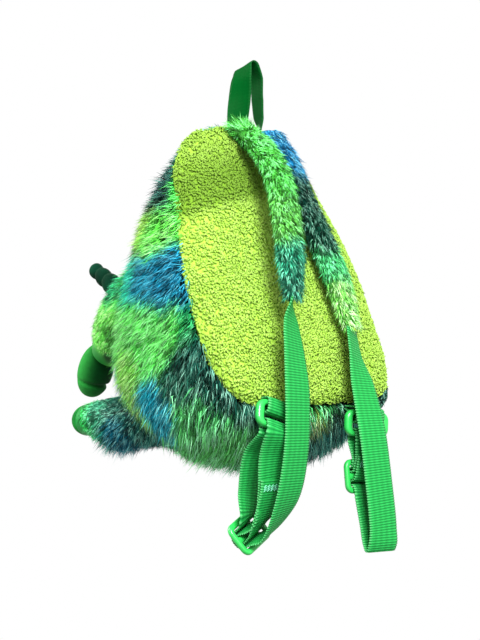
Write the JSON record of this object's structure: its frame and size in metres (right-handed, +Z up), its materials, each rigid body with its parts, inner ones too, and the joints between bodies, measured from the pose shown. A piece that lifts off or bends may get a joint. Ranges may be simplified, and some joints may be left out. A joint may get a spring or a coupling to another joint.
{
  "type": "plush animal backpack",
  "caption": "Small furry backpack shaped as a horned plush animal, with a padded back panel, stuffed shoulder straps, woven webbing, plastic adjusters and a ribbon hang loop.",
  "frame": {"origin": "underside of the top of the ribbon hang loop, where a hook carries the backpack", "axes": "+Z up along the hang, the animal faces -Y, the padded back panel faces +Y, the animal's left is +X"},
  "size_m": [0.2438, 0.3437, 0.4141],
  "materials": {
    "fur": "long tie-dyed pile",
    "lining": "knitted fur backing",
    "sherpa": "short curled pile",
    "webbing": "ribbed weave",
    "ribbon": "satin weave",
    "velvet": "short velvet pile",
    "horn": "stuffed satin",
    "zip": "woven tape",
    "plastic": "moulded",
    "eye": "polished"
  },
  "bodies": {
    "root": {"bag_wall": "lining", "back_panel": "sherpa", "zip": "zip", "fur_coat": "fur", "tab_left": "webbing", "tab_right": "webbing", "handle": "ribbon", "strap_pad_left": "fur", "strap_pad_right": "fur", "head": "fur", "muzzle": "velvet", "horn": "horn", "eye_left": "eye", "eye_right": "eye", "leg_left": "fur", "leg_right": "fur", "sole_left": "velvet", "sole_right": "velvet", "ring_left": "plastic", "ring_right": "plastic", "slider_left": "plastic", "slider_right": "plastic", "webbing_left": "webbing", "webbing_right": "webbing"}
  },
  "joints": []
}
